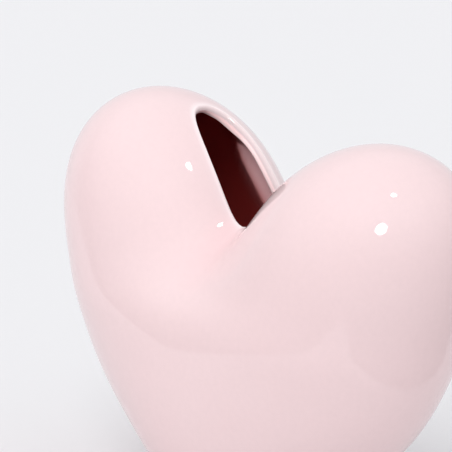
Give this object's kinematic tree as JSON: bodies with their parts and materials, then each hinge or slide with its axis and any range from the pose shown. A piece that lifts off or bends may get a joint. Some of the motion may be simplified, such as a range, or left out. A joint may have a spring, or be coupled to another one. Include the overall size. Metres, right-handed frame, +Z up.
{
  "type": "heart vase",
  "caption": "Free-standing puffed-heart vase in glossy pale pink glazed stoneware, hollow, with a long slot opening cut along the cleft between its two lobes and a small oval foot.",
  "frame": {"origin": "middle of the base, on the surface that the vase stands on", "axes": "+Z up, X across the two lobes, Y through the thickness from front to back"},
  "size_m": [0.2036, 0.0982, 0.1573],
  "materials": {
    "stoneware": "matte",
    "pink_glaze": "gloss",
    "inside_glaze": "gloss",
    "felt": "felt"
  },
  "bodies": {
    "root": {"clay_body": "stoneware", "outer_glaze": "pink_glaze", "inner_glaze": "inside_glaze", "base_glaze": "pink_glaze", "foot_pads": "felt"}
  },
  "joints": []
}
